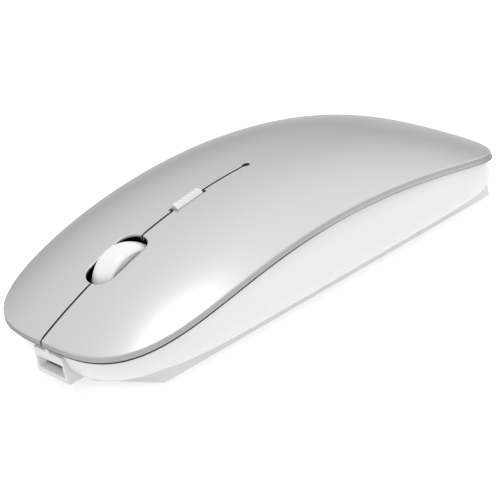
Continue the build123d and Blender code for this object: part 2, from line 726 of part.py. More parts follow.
def power_knob():
    """Ribbed knob of the slide switch, sunk in its recess in the base plate."""
    with BuildPart() as power_knob:
        with BuildSketch(Plane.XY.offset(0.55)):
            with Locations((POWER_X, POWER_Y)):
                RectangleRounded(3.8, 4.2, 0.6)
        extrude(amount=0.55)
        for rib in range(-1, 2):
            y = POWER_Y + 1.1 * rib
            add(block((POWER_X - 1.5, POWER_X + 1.5), (y - 0.25, y + 0.25), (0.5, 0.7)),
                mode=Mode.SUBTRACT)
        add(block((POWER_X - 0.9, POWER_X + 0.9), (POWER_Y - 1.0, POWER_Y + 1.0), (1.0, 4.3)))
    return power_knob.part


def controller_chip():
    """Radio and control chip beside the sensor."""
    with BuildPart() as controller_chip:
        add(block((-14.0, -9.0), (-20.0, -13.0), (BOARD_TOP + 0.1, BOARD_TOP + 1.5)))
        chamfer(controller_chip.edges().group_by(Axis.Z)[-1], 0.2)
        for row in range(8):
            y = -19.1 + 0.75 * row
            add(block((-15.0, -8.0), (y - 0.15, y + 0.15), (BOARD_TOP, BOARD_TOP + 0.6)))
    return controller_chip.part


def charge_chip():
    """Battery charging chip near the port."""
    with BuildPart() as charge_chip:
        add(block((5.4, 8.4), (-47.4, -44.4), (BOARD_TOP + 0.1, BOARD_TOP + 1.3)))
        chamfer(charge_chip.edges().group_by(Axis.Z)[-1], 0.2)
        for row in range(3):
            y = -46.8 + 0.9 * row
            add(block((4.7, 9.1), (y - 0.18, y + 0.18), (BOARD_TOP, BOARD_TOP + 0.5)))
    return charge_chip.part


def crystal():
    """Timing crystal of the radio."""
    with BuildPart() as crystal:
        with BuildSketch(Plane.XY.offset(BOARD_TOP)):
            with Locations((-11.5, -23.6)):
                SlotOverall(7.0, 3.0)
        extrude(amount=2.4)
        fillet(crystal.edges().group_by(Axis.Z)[-1], 0.4)
    return crystal.part


# ---------------------------------------------------------------- scroll wheel
def wheel_plane():
    """Plane through the axle, across +X and up +Z."""
    return Plane(origin=(0, AXLE_Y, AXLE_Z), x_dir=(1, 0, 0), z_dir=(0, -1, 0))


def axle_axis():
    """Line of the wheel's axle."""
    return Axis((0, AXLE_Y, AXLE_Z), (1, 0, 0))


def scroll_tyre():
    """White tyre with a smooth crowned tread."""
    side, shoulder = TYRE_HALF_WIDTH, TYRE_HALF_WIDTH - 0.25
    with BuildPart() as scroll_tyre:
        with BuildSketch(wheel_plane()):
            with BuildLine():
                Polyline((-shoulder, TYRE_EDGE_R), (-side, TYRE_EDGE_R - 0.3), (-side, HUB_R),
                         (side, HUB_R), (side, TYRE_EDGE_R - 0.3), (shoulder, TYRE_EDGE_R))
                ThreePointArc((shoulder, TYRE_EDGE_R), (0, TYRE_R), (-shoulder, TYRE_EDGE_R))
            make_face()
        revolve(axis=axle_axis())
    return scroll_tyre.part


def wheel_hub():
    """Hub with a ring of windows that chop the light of the scroll sensor."""
    rim, web, boss = HUB_R - 0.9, 0.8, 1.9
    with BuildPart() as wheel_hub:
        with BuildSketch(wheel_plane()):
            with BuildLine():
                Polyline(
                    (-HUB_HALF_WIDTH, HUB_R), (-HUB_HALF_WIDTH, rim), (-web, rim), (-web, boss),
                    (-HUB_HALF_WIDTH - 0.4, boss), (-HUB_HALF_WIDTH - 0.4, AXLE_R + 0.05),
                    (HUB_HALF_WIDTH + 0.4, AXLE_R + 0.05), (HUB_HALF_WIDTH + 0.4, boss),
                    (web, boss), (web, rim), (HUB_HALF_WIDTH, rim), (HUB_HALF_WIDTH, HUB_R),
                    close=True,
                )
            make_face()
        revolve(axis=axle_axis())
        across = Plane(origin=(-5, AXLE_Y, AXLE_Z), x_dir=(0, 1, 0), z_dir=(1, 0, 0))
        with BuildSketch(across):
            with PolarLocations((rim + boss) / 2 + 0.05, 12):
                SlotOverall(1.5, 0.8)
        extrude(amount=10, mode=Mode.SUBTRACT)
    return wheel_hub.part


def wheel_axle():
    """Steel pin the wheel turns on; its ends ride in the guides."""
    with BuildPart() as wheel_axle:
        with BuildSketch(Plane(origin=(-AXLE_HALF, AXLE_Y, AXLE_Z), z_dir=(1, 0, 0))):
            Circle(AXLE_R)
        extrude(amount=2 * AXLE_HALF)
        chamfer(wheel_axle.edges(), 0.15)
    return wheel_axle.part


def wheel_carrier():
    """Frame round the wheel that dips when the wheel is pressed."""
    with BuildPart() as wheel_carrier:
        add(block((-CARRIER_X[1], CARRIER_X[1]), CARRIER_Y, CARRIER_Z))
        add(block((-CARRIER_X[0], CARRIER_X[0]), (CARRIER_Y[0] + 1.2, CARRIER_Y[1] - 1.2), (0, 40)),
            mode=Mode.SUBTRACT)
        add(block((-2, 2), (MIDDLE_SWITCH_Y - 1.8, CARRIER_Y[0] + 0.6), (PRESSER_Z, CARRIER_Z[0] + 1.4)))
        for side in (-1, 1):
            start = side * (CARRIER_X[0] if side > 0 else CARRIER_X[1])
            cheek = Plane(origin=(start, AXLE_Y, AXLE_Z), z_dir=(1, 0, 0))
            with BuildSketch(cheek):
                Circle(1.9)
            extrude(amount=CARRIER_X[1] - CARRIER_X[0])
        with BuildSketch(Plane(origin=(-20, AXLE_Y, AXLE_Z), z_dir=(1, 0, 0))):
            Circle(AXLE_R)
        extrude(amount=40, mode=Mode.SUBTRACT)
    return wheel_carrier.part


def wheel_guides():
    """Two posts on the board, slotted for the ends of the axle."""
    slot_bottom = AXLE_Z - AXLE_R - TRAVEL - 0.15
    with BuildPart() as wheel_guides:
        for side in (-1, 1):
            x = sorted((side * GUIDE_X[0], side * GUIDE_X[1]))
            add(block(x, (AXLE_Y - 2.6, AXLE_Y + 2.6), (BOARD_TOP, GUIDE_TOP)))
            slot_x = sorted((side * (GUIDE_X[0] - 1), side * (AXLE_HALF + 0.1)))
            add(block(slot_x, (AXLE_Y - AXLE_R - 0.06, AXLE_Y + AXLE_R + 0.06), (slot_bottom, 30)),
                mode=Mode.SUBTRACT)
    return wheel_guides.part


def scroll_eye(side):
    """Side-looking lamp (-1) or detector (+1) that reads the hub's windows."""
    near, far = 4.35, 5.95
    x = sorted((side * near, side * far))
    z = AXLE_Z - (HUB_R - 0.9 + 1.9) / 2
    with BuildPart() as scroll_eye:
        add(block(x, (AXLE_Y - 2.1, AXLE_Y + 2.1), (BOARD_TOP + 1, z + 1.9)))
        chamfer(scroll_eye.edges().filter_by(Axis.X).group_by(Axis.Z)[-1], 0.5)
        for y in (AXLE_Y - 1.3, AXLE_Y + 1.3):
            leg_x = sorted((side * (near + 0.6), side * (near + 1.0)))
            add(block(leg_x, (y - 0.2, y + 0.2), (BOARD_TOP, BOARD_TOP + 1)))
        face = Plane(origin=(side * near, AXLE_Y, z), z_dir=(-side, 0, 0))
        with BuildSketch(face):
            Circle(0.8)
        extrude(amount=0.35)
    return scroll_eye.part


# ---------------------------------------------------------------- DPI button
def dpi_button():
    """Ridged bar in the slot, with a retaining flange and a stem down to its switch."""
    front, rear = DPI_Y
    rise = crown(0, rear) - crown(0, front)
    length = math.hypot(rear - front, rise)
    along = (0, (rear - front) / length, rise / length)
    end = Plane(origin=(0, front, crown(0, front)), x_dir=(-1, 0, 0), z_dir=along)
    under = -SHELL - 0.45
    with BuildPart() as dpi_button:
        with BuildSketch(end):
            with BuildLine():
                Polyline(
                    (-DPI_HALF_WIDTH, under), (DPI_HALF_WIDTH, under), (DPI_HALF_WIDTH, 0.1),
                    (DPI_TOP_HALF_WIDTH, DPI_PROUD), (-DPI_TOP_HALF_WIDTH, DPI_PROUD),
                    (-DPI_HALF_WIDTH, 0.1), close=True,
                )
            make_face()
        extrude(amount=length)
        chamfer(dpi_button.edges().filter_by(Axis.X).group_by(Axis.Z)[-1], 0.15)
        with BuildSketch(end):
            with Locations((0, under - 0.4)):
                Rectangle(4.4, 0.8)
        extrude(amount=length)
        stem_top = crown(0, DPI_SWITCH_Y) - SHELL - 0.6
        add(posts([(0, DPI_SWITCH_Y)], 1.4, PRESSER_Z, stem_top))
        for ridge in range(5):
            share = (ridge + 1) / 6
            y, z = front + share * (rear - front), crown(0, front) + share * rise + DPI_PROUD
            add(block((-0.35, 0.35), (y - 0.17, y + 0.17), (z - 0.3, z + 0.1)))
    return dpi_button.part


# ---------------------------------------------------------------- power
def battery():
    """Flat rechargeable cell behind the board."""
    width, length, height = BATTERY
    with BuildPart() as battery:
        with BuildSketch(Plane.XY.offset(BATTERY_Z)):
            with Locations((0, BATTERY_Y)):
                Rectangle(width, length)
        extrude(amount=height)
        fillet(battery.edges().filter_by(Axis.Y), 1.2)
        fillet(battery.edges().group_by(Axis.Z)[-1].filter_by(Axis.X), 0.4)
    return battery.part


def battery_guard():
    """Protection strip on the cell's front edge, where its leads end."""
    front = BATTERY_Y - BATTERY[1] / 2 + 0.6
    top = BATTERY_Z + BATTERY[2]
    return block((-9.0, 9.0), (front, front + 2.6), (top, top + 0.9))


def battery_connector():
    """Small white connector where the battery leads reach the board."""
    x, y, _ = LEAD_START
    with BuildPart() as battery_connector:
        add(block((x - 1.5, x + 3.5), (y - 3.6, y), (BOARD_TOP, BOARD_TOP + 2.6)))
        chamfer(battery_connector.edges().filter_by(Axis.Z), 0.3)
        add(block((x - 0.9, x + 2.9), (y - 4, y - 2.6), (BOARD_TOP + 0.7, BOARD_TOP + 2.0)),
            mode=Mode.SUBTRACT)
    return battery_connector.part


def battery_lead(shift):
    """One lead from the connector back to the protection strip."""
    x, y, z = LEAD_START
    guard_y = BATTERY_Y - BATTERY[1] / 2 + 0.6
    end_z = BATTERY_Z + BATTERY[2] + 0.45
    route = [
        (x + shift, y, z),
        (x + shift, y + 2.3, z),
        (x + shift - 2.6, guard_y - 2.5, end_z),
        (x + shift - 2.6, guard_y, end_z),
    ]
    radii = []
    for before, corner, after in zip(route, route[1:], route[2:]):
        inward, outward = Vector(*corner) - Vector(*before), Vector(*after) - Vector(*corner)
        half_turn = math.radians(inward.get_angle(outward)) / 2
        radii.append(0.45 * min(inward.length, outward.length) / math.tan(half_turn))
    with BuildPart() as battery_lead:
        with BuildLine() as path:
            FilletPolyline(*route, radius=radii)
        with BuildSketch(Plane(origin=route[0], z_dir=(0, 1, 0))):
            Circle(LEAD_R)
        sweep(path=path.wire())
    print("battery lead: arcs", [round(radius, 2) for radius in radii],
          "length", round(path.wire().length, 2), "volume", round(battery_lead.part.volume, 3),
          "section times length", round(math.pi * LEAD_R**2 * path.wire().length, 3))
    return battery_lead.part


def radio_receiver():
    """Plug-in receiver stored in the pocket under the tail."""
    width, length, height = RECEIVER
    floor = FEET_STAND + 0.15
    front, rear = RECEIVER_Y - length / 2, RECEIVER_Y + length / 2
    with BuildPart() as radio_receiver:
        add(block((-width / 2, width / 2), (front, front + 6.0), (floor, floor + height)))
        fillet(radio_receiver.edges().filter_by(Axis.Y), 1.2)
        fillet(radio_receiver.edges().group_by(Axis.Y)[0], 0.8)
        add(block((-6.0, 6.0), (front + 6.0, rear), (floor + 0.6, floor + 5.1)))
        add(block((-5.6, 5.6), (front + 8.0, rear + 1), (floor + 2.9, floor + 4.7)),
            mode=Mode.SUBTRACT)
    return radio_receiver.part


# ---------------------------------------------------------------- files
def save(piece, name):
    """Label one finished piece and write it as its own node."""
    piece.label = name
    export_step(piece, f"parts/{name}.step")


def main():
    """Build and write every piece of the mouse."""
    blank = top_blank()
    save(palm_shell(blank), "palm_shell")
    left_notch = (DPI_Y[0] - DPI_END_GAP[0], DPI_Y[1] + DPI_NOTCH)
    right_notch = (DPI_Y[0] - DPI_NOTCH, DPI_Y[1] + DPI_END_GAP[1])
    save(click_button(blank, 1, left_notch), "left_button")
    save(click_button(blank, -1, right_notch), "right_button")
    save(lower_housing(), "lower_housing")
    save(base_plate(), "base_plate")
    save(glide_feet(), "glide_feet")
    save(case_screws(), "case_screws")
    save(circuit_board(), "circuit_board")
    save(board_screws(), "board_screws")
    for side, name in ((1, "left"), (-1, "right")):
        save(click_switch(side), f"{name}_switch")
        save(click_switch_plunger(side), f"{name}_switch_plunger")
    for y, name in ((MIDDLE_SWITCH_Y, "middle"), (DPI_SWITCH_Y, "dpi")):
        save(tact_switch(y), f"{name}_switch")
        save(tact_plunger(y), f"{name}_switch_plunger")
    save(usb_receptacle(), "usb_receptacle")
    save(usb_tongue(), "usb_tongue")
    save(sensor_chip(), "sensor_chip")
    save(sensor_lens(), "sensor_lens")
    save(sensor_lamp(), "sensor_lamp")
    save(power_switch(), "power_switch")
    save(power_knob(), "power_knob")
    save(controller_chip(), "controller_chip")
    save(charge_chip(), "charge_chip")
    save(crystal(), "crystal")
    save(scroll_tyre(), "scroll_tyre")
    save(wheel_hub(), "wheel_hub")
    save(wheel_axle(), "wheel_axle")
    save(wheel_carrier(), "wheel_carrier")
    save(wheel_guides(), "wheel_guides")
    save(scroll_eye(-1), "scroll_emitter")
    save(scroll_eye(1), "scroll_detector")
    save(dpi_button(), "dpi_button")
    save(battery(), "battery")
    save(battery_guard(), "battery_guard")
    save(battery_connector(), "battery_connector")
    save(battery_lead(0.0), "battery_lead_red")
    save(battery_lead(2.0), "battery_lead_black")
    save(radio_receiver(), "radio_receiver")


main()
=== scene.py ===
"""Looks of the slim wireless mouse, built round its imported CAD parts.

Metres, +Z up, nose towards -Y. The silver skins are worked out in millimetres, from the same
driving dimensions as the CAD shell, and are turned into metres when their meshes are made.
"""

import math

import bpy
import numpy as np
from mathutils import Matrix, Vector
from mathutils.geometry import delaunay_2d_cdt


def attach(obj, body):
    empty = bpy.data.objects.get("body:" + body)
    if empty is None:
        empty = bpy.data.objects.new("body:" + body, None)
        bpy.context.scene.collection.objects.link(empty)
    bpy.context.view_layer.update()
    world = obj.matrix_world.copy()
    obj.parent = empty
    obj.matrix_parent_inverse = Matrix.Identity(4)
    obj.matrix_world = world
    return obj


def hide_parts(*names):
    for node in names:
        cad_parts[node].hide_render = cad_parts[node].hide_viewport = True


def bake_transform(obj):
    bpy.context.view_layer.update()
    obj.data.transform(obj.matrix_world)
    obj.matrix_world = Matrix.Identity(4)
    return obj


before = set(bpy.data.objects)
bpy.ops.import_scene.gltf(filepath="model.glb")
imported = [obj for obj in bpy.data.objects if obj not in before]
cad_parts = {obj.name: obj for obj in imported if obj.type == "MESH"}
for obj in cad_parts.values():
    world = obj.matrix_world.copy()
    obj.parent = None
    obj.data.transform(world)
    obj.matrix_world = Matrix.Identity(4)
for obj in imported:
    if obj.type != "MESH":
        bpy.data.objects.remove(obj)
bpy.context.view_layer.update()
MM = 0.001

# ---------------------------------------------------------------- driving dimensions, mm
LENGTH = 113.0
HALF_WIDTH = 28.5
WIDEST_Y = -3.0
FRONT_POWERS = (3.1, 4.6)  # squareness of the plan across and along, ahead of WIDEST_Y
REAR_POWERS = (3.7, 3.8)  # and behind it
CREST_Z, CREST_Y = 25.0, 1.2
NOSE_DROP, NOSE_SNAP = 13.7, 0.05
TAIL_DROP, TAIL_SNAP = 15.9, 0.24
SIDE_DROP, SIDE_POWER = 4.8, 2.7
SHELL = 1.5

SLOT = 0.62
SEAM_Y = 1.0  # where the click panels grow out of the palm shell
KEYHOLE_R = 0.85
HOLE_Y = (-42.05, -27.87)
HOLE_HALF_WIDTH = 4.2
HOLE_END = 3.1
BAR_Y = (-18.7, -11.75)  # the resolution key in the slot
BAR_NOTCH_X = 1.17
LEFT_NOTCH = (BAR_Y[0] - 0.15, BAR_Y[1] + 0.9)
RIGHT_NOTCH = (BAR_Y[0] - 0.9, BAR_Y[1] + 0.3)
BOSSES = ((-13.6, 43.0), (13.6, 43.0), (-16.2, 6.6), (16.2, 6.6))
BOSS_R, BOSS_BORE_R, BOSS_Z = 2.1, 0.75, 5.06
ROOTED = 0.4  # how deep bosses and ribs are sunk into the shell
RIB_X, RIB_Y, RIB_BOTTOM = 15.0, -36.0, 14.06
RIB_HALF = (1.45, 1.25)

EDGE_STEP = 0.9  # spacing of points along the skins' edges
HOLE_STEP, KEYHOLE_STEP = 0.3, 0.16  # and round their small openings
FIELD_STEP = 1.25  # and over their faces
UNDERCUT_Y = (-24.0, 2.0)  # the rim is undercut in full ahead of the first line, not behind the second

# Edge profiles as (inset, depth below the surface), from the underside up to the face.
RIM = ((0.10, 1.50), (0.02, 1.44), (0.0, 1.33), (0.06, 1.10), (0.14, 0.80), (0.18, 0.50),
       (0.19, 0.27), (0.25, 0.12), (0.36, 0.03), (0.50, 0.0))
UNDERCUT_RIM = ((0.34, 1.80), (0.28, 1.78), (0.04, 1.24), (0.0, 1.20), (0.0, 1.12), (0.04, 0.80),
                (0.07, 0.45), (0.10, 0.20), (0.16, 0.06), (0.28, 0.0))
SLOT_EDGE = ((0.0, 1.50), (0.0, 1.44), (0.0, 1.33), (0.0, 1.10), (0.0, 0.80), (0.0, 0.50),
             (0.0, 0.10), (0.02, 0.045), (0.05, 0.01), (0.10, 0.0))
HOLE_EDGE = ((0.05, 0.62), (0.0, 0.58), (0.0, 0.53), (0.0, 0.47), (0.0, 0.40), (0.0, 0.32),
             (0.0, 0.24), (0.05, 0.10), (0.13, 0.025), (0.26, 0.0))
SEAM = tuple((0.0, depth) for _, depth in RIM)


# ---------------------------------------------------------------- shape of the silver shell
def crown(x, y):
    """Height of the shell's face, the same formula as the CAD shell's."""
    ahead = y < CREST_Y
    run = np.where(ahead, CREST_Y + LENGTH / 2, LENGTH / 2 - CREST_Y)
    drop = np.where(ahead, NOSE_DROP, TAIL_DROP)
    snap = np.where(ahead, NOSE_SNAP, TAIL_SNAP)
    along = (y - CREST_Y) / run
    fall = drop * ((1 - snap) * along**2 + snap * along**4)
    return CREST_Z - fall - SIDE_DROP * np.abs(x / HALF_WIDTH) ** SIDE_POWER


def crown_normal(x, y):
    """Unit normals of the shell's face."""
    step = 0.01
    slope_x = (crown(x + step, y) - crown(x - step, y)) / (2 * step)
    slope_y = (crown(x, y + step) - crown(x, y - step)) / (2 * step)
    normal = np.stack([-slope_x, -slope_y, np.ones_like(slope_x)], axis=-1)
    return normal / np.linalg.norm(normal, axis=-1, keepdims=True)


def plan_point(angle):
    """Point of the plan outline at an angle measured from the nose towards +X."""
    sine, cosine = math.sin(angle), math.cos(angle)
    reach = LENGTH / 2 + (WIDEST_Y if cosine > 0 else -WIDEST_Y)
    side_power, end_power = FRONT_POWERS if cosine > 0 else REAR_POWERS
    low, high = 0.0, LENGTH
    for _ in range(45):
        middle = (low + high) / 2
        across = abs(middle * sine / HALF_WIDTH) ** side_power
        inside = across + abs(middle * cosine / reach) ** end_power < 1
        low, high = (middle, high) if inside else (low, middle)
    return low * sine, WIDEST_Y - low * cosine


def outline_stretch(start, end):
    """Evenly spaced points of the outline between two angles."""
    angles = np.linspace(start, end, 1400)
    points = np.array([plan_point(angle) for angle in angles])
    run = np.concatenate([[0], np.cumsum(np.linalg.norm(np.diff(points, axis=0), axis=1))])
    count = max(2, round(run[-1] / EDGE_STEP) + 1)
    places = np.linspace(0, run[-1], count)
    return np.stack([np.interp(places, run, points[:, axis]) for axis in (0, 1)], axis=1)


def outline_angle(value, axis, low, high):
    """Angle between low and high where the outline's x (axis 0) or y (axis 1) is value."""
    rising = plan_point(high)[axis] > plan_point(low)[axis]
    for _ in range(45):
        middle = (low + high) / 2
        below = plan_point(middle)[axis] < value
        low, high = (middle, high) if below == rising else (low, middle)
    return low


def straight(start, end, step=EDGE_STEP):
    """Evenly spaced points from start to end."""
    start, end = np.array(start, float), np.array(end, float)
    count = max(2, round(np.linalg.norm(end - start) / step) + 1)
    return start + (end - start) * np.linspace(0, 1, count)[:, None]


def arc(centre, radii, start, end, step):
    """Points of an ellipse's arc between two angles from +X, in radians."""
    count = max(3, round(abs(end - start) * max(radii) / step) + 1)
    angles = np.linspace(start, end, count)
    return np.array(centre) + np.stack([radii[0] * np.cos(angles), radii[1] * np.sin(angles)], axis=1)


def palm_edges():
    """Closed edge of the palm shell, counter-clockwise, as (points, profile) stretches."""
    right = outline_angle(SEAM_Y, 1, 0.5 * math.pi, 0.75 * math.pi)
    tail = outline_stretch(right, 2 * math.pi - right)
    seam_x = tail[0][0]
    tail[0][1] = tail[-1][1] = SEAM_Y
    return [
        (straight((KEYHOLE_R, SEAM_Y), (seam_x, SEAM_Y)), SEAM),
        (tail, RIM),
        (straight((-seam_x, SEAM_Y), (-KEYHOLE_R, SEAM_Y)), SEAM),
        (arc((0, SEAM_Y), (KEYHOLE_R, KEYHOLE_R), math.pi, 0, KEYHOLE_STEP), SLOT_EDGE),
    ]


def panel_edges(notch):
    """Closed edge of the click panel on the +X side."""
    slot_x = SLOT / 2
    key_angle = math.acos(slot_x / KEYHOLE_R)
    end_angle = math.acos(slot_x / HOLE_HALF_WIDTH)
    rear_centre, front_centre = (0, HOLE_Y[1] - HOLE_END), (0, HOLE_Y[0] + HOLE_END)
    oval = (HOLE_HALF_WIDTH, HOLE_END)
    rear_arc = arc(rear_centre, oval, end_angle, 0, HOLE_STEP)
    front_arc = arc(front_centre, oval, 0, -end_angle, HOLE_STEP)
    key_arc = arc((0, SEAM_Y), (KEYHOLE_R, KEYHOLE_R), 0, -key_angle, KEYHOLE_STEP)
    nose_angle = outline_angle(slot_x, 0, 0, 0.25 * math.pi)
    seam_angle = outline_angle(SEAM_Y, 1, 0.5 * math.pi, 0.75 * math.pi)
    rim = outline_stretch(nose_angle, seam_angle)
    rim[-1][1] = SEAM_Y
    return [
        (straight(key_arc[-1], (slot_x, notch[1])), SLOT_EDGE),
        (straight((slot_x, notch[1]), (BAR_NOTCH_X, notch[1]), HOLE_STEP), SLOT_EDGE),
        (straight((BAR_NOTCH_X, notch[1]), (BAR_NOTCH_X, notch[0])), SLOT_EDGE),
        (straight((BAR_NOTCH_X, notch[0]), (slot_x, notch[0]), HOLE_STEP), SLOT_EDGE),
        (straight((slot_x, notch[0]), rear_arc[0]), SLOT_EDGE),
        (rear_arc, HOLE_EDGE),
        (straight(rear_arc[-1], front_arc[0]), HOLE_EDGE),
        (front_arc, HOLE_EDGE),
        (straight(front_arc[-1], rim[0]), SLOT_EDGE),
        (rim, RIM),
        (straight(rim[-1], (KEYHOLE_R, SEAM_Y)), SEAM),
        (key_arc, SLOT_EDGE),
    ]


def mirrored(stretches):
    """The same edge on the other side of the middle line, still counter-clockwise."""
    return [(points[::-1] * (-1, 1), profile) for points, profile in reversed(stretches)]


def outward_normals(points):
    """Outward 2-D normals along one stretch of a counter-clockwise edge."""
    along = np.gradient(points, axis=0)
    normal = np.stack([along[:, 1], -along[:, 0]], axis=1)
    return normal / np.linalg.norm(normal, axis=1, keepdims=True)


def mitred(point, normals, insets):
    """The point moved in from two edges at once, by each edge's own inset."""
    first, second = normals
    if abs(first[0] * second[1] - first[1] * second[0]) < 0.05:
        mean = (first + second) / 2
        return point - mean / np.linalg.norm(mean) * max(insets)
    return point - np.linalg.solve(np.array([first, second]), np.array(insets))


def cross_sections(points, profile):
    """The edge profile at each point; the rim turns into the undercut rim towards the nose."""
    full, none = UNDERCUT_Y
    ahead = np.clip((none - points[:, 1]) / (none - full), 0, 1) if profile is RIM else np.zeros(len(points))
    share = ahead[:, None, None]
    return np.array(profile)[None] * (1 - share) + np.array(UNDERCUT_RIM)[None] * share


def edge_rings(stretches):
    """Rings of points that follow the edge profiles, with a normal at each end of each step.

    Returns rings[level][corner] as 3-D points, and for each step along the edge the pair of
    normals at both its ends, at each level.
    """
    levels = len(RIM)
    rings = [[] for _ in range(levels)]
    shading = [[] for _ in range(levels)]
    for index, (points, profile) in enumerate(stretches):
        before_points, before_profile = stretches[index - 1]
        normals = outward_normals(points)
        before_normal = outward_normals(before_points)[-1]
        sections = cross_sections(points, profile)
        before_section = cross_sections(before_points, before_profile)[-1]
        for level in range(levels):
            insets, depths = sections[:, level, 0], sections[:, level, 1].copy()
            start = mitred(points[0], (before_normal, normals[0]), (before_section[level, 0], insets[0]))
            ring = [start, *(points[1:-1] - normals[1:-1] * insets[1:-1, None])]
            depths[0] = max(depths[0], before_section[level, 1])
            for (x, y), down in zip(ring, depths):
                rings[level].append((x, y, float(crown(x, y)) - down))
            step = sections[:, max(level - 1, 0)] - sections[:, min(level + 1, levels - 1)]
            out, up = step[:, 1:], -step[:, :1]
            if level == levels - 1:
                out, up = np.zeros_like(out), np.ones_like(up)
            face = crown_normal(points[:, 0], points[:, 1])
            flat = np.concatenate([normals, np.zeros((len(points), 1))], axis=1)
            mixed = flat * out + face * up
            mixed /= np.linalg.norm(mixed, axis=1, keepdims=True)
            shading[level] += list(zip(mixed[:-1], mixed[1:]))
    return rings, shading


def inside(points, polygon):
    """Which points are inside a polygon."""
    x, y = points[:, 0], points[:, 1]
    result = np.zeros(len(points), bool)
    for (x0, y0), (x1, y1) in zip(polygon, np.roll(polygon, -1, axis=0)):
        if y0 != y1:
            crosses = (y0 > y) != (y1 > y)
            result ^= crosses & (x < (x1 - x0) * (y - y0) / (y1 - y0) + x0)
    return result


def field_points(ring):
    """Grid points well inside a ring."""
    low, high = ring.min(axis=0), ring.max(axis=0)
    across = np.arange(math.ceil(low[0] / FIELD_STEP), high[0] / FIELD_STEP) * FIELD_STEP
    along = np.arange(math.ceil(low[1] / FIELD_STEP), high[1] / FIELD_STEP) * FIELD_STEP
    grid = np.array([(x, y) for x in across for y in along])
    grid = grid[inside(grid, ring)]
    gap = np.linalg.norm(grid[:, None] - ring[None], axis=2).min(axis=1)
    return grid[gap > 0.55 * FIELD_STEP]


class Patch:
    """Vertices, faces and corner normals of one skin while it is being put together, in mm."""

    def __init__(self):
        self.points, self.faces, self.normals = [], [], []

    def add_points(self, points):
        first = len(self.points)
        self.points += [tuple(float(value) for value in point) for point in points]
        return list(range(first, len(self.points)))

    def add_face(self, corners, normals):
        self.faces.append(tuple(corners))
        self.normals += [tuple(float(value) for value in normal) for normal in normals]

    def flat_face(self, corners):
        a, b, c = (np.array(self.points[corner]) for corner in corners[:3])
        normal = np.cross(b - a, c - a)
        self.add_face(corners, [normal / np.linalg.norm(normal)] * len(corners))

    def mesh_object(self, name):
        mesh = bpy.data.meshes.new(name)
        mesh.from_pydata([tuple(value * MM for value in point) for point in self.points], [], self.faces)
        mesh.polygons.foreach_set("use_smooth", [True] * len(mesh.polygons))
        mesh.normals_split_custom_set(self.normals)
        mesh.update()
        piece = bpy.data.objects.new(name, mesh)
        bpy.context.scene.collection.objects.link(piece)
        return piece


def add_skin(patch, stretches):
    """Closed skin with rounded edges over the crowned shell, and a parallel underside."""
    rings, shading = edge_rings(stretches)
    count = len(rings[0])
    ring_ids = [patch.add_points(ring) for ring in rings]
    for level in range(len(rings) - 1):
        for corner in range(count):
            after = (corner + 1) % count
            lower, upper = ring_ids[level], ring_ids[level + 1]
            low_start, low_end = shading[level][corner]
            high_start, high_end = shading[level + 1][corner]
            patch.add_face((lower[corner], lower[after], upper[after], upper[corner]),
                           (low_start, low_end, high_end, high_start))

    top_ring = np.array(rings[-1])[:, :2]
    field = field_points(top_ring)
    flat = [Vector(point) for point in np.concatenate([top_ring, field])]
    fill = delaunay_2d_cdt(flat, [], [list(range(count))], 1, 1e-6)
    triangles, sources = fill[2], fill[3]
    heights = crown(field[:, 0], field[:, 1])
    field_ids = patch.add_points(np.column_stack([field, heights]))
    top_ids = ring_ids[-1] + field_ids
    plan = np.concatenate([top_ring, field])
    face_normals = crown_normal(plan[:, 0], plan[:, 1])
    under = np.column_stack([plan, crown(plan[:, 0], plan[:, 1]) - SHELL])
    under_ids = patch.add_points(under)
    for triangle in triangles:
        corners = [sources[corner][0] for corner in triangle]
        patch.add_face([top_ids[c] for c in corners], face_normals[corners])
        corners.reverse()
        patch.add_face([under_ids[c] for c in corners], -face_normals[corners])
    for corner in range(count):
        after = (corner + 1) % count
        pair = [corner, after]
        down = -face_normals[pair]
        patch.add_face((ring_ids[0][after], ring_ids[0][corner], under_ids[corner], under_ids[after]),
                       (down[1], down[0], down[0], down[1]))


def add_boss(patch, x, y):
    """Screw boss under the palm shell: an upright tube sunk into the shell."""
    turns = 32
    top = float(crown(x, y)) - SHELL + ROOTED
    sections = ((BOSS_R, top), (BOSS_R, BOSS_Z), (BOSS_BORE_R, BOSS_Z), (BOSS_BORE_R, top))
    loops = []
    for radius, z in sections:
        angles = [2 * math.pi * turn / turns for turn in range(turns)]
        ring = [(x + radius * math.cos(a), y + radius * math.sin(a), z) for a in angles]
        loops.append(patch.add_points(ring))
    for upper, lower in zip(loops, loops[1:] + loops[:1]):
        for turn in range(turns):
            after = (turn + 1) % turns
            patch.flat_face((upper[after], upper[turn], lower[turn], lower[after]))


def add_rib(patch, side):
    """Rib under a click panel that reaches down to its switch."""
    x, y = side * RIB_X, RIB_Y
    half_x, half_y = RIB_HALF
    corners = [(x - half_x, y - half_y), (x + half_x, y - half_y),
               (x + half_x, y + half_y), (x - half_x, y + half_y)]
    low = patch.add_points([(a, b, RIB_BOTTOM) for a, b in corners])
    high = patch.add_points([(a, b, float(crown(a, b)) - SHELL + ROOTED) for a, b in corners])
    patch.flat_face(low[::-1])
    patch.flat_face(high)
    for corner in range(4):
        after = (corner + 1) % 4
        patch.flat_face((low[corner], low[after], high[after], high[corner]))


def palm_skin():
    """Rear of the silver cover, with its screw bosses."""
    patch = Patch()
    add_skin(patch, palm_edges())
    for x, y in BOSSES:
        add_boss(patch, x, y)
    piece = patch.mesh_object("palm_shell_skin")
    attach(piece, "case")
    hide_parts("palm_shell")
    return piece


def panel_skin(name, side, notch):
    """Click panel, whose edge at the seam line meets the palm shell's edge, so there is no seam to see."""
    stretches = panel_edges(notch)
    patch = Patch()
    add_skin(patch, stretches if side > 0 else mirrored(stretches))
    add_rib(patch, side)
    piece = patch.mesh_object(f"{name}_button_skin")
    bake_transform(piece)
    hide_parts(f"{name}_button")
    return piece
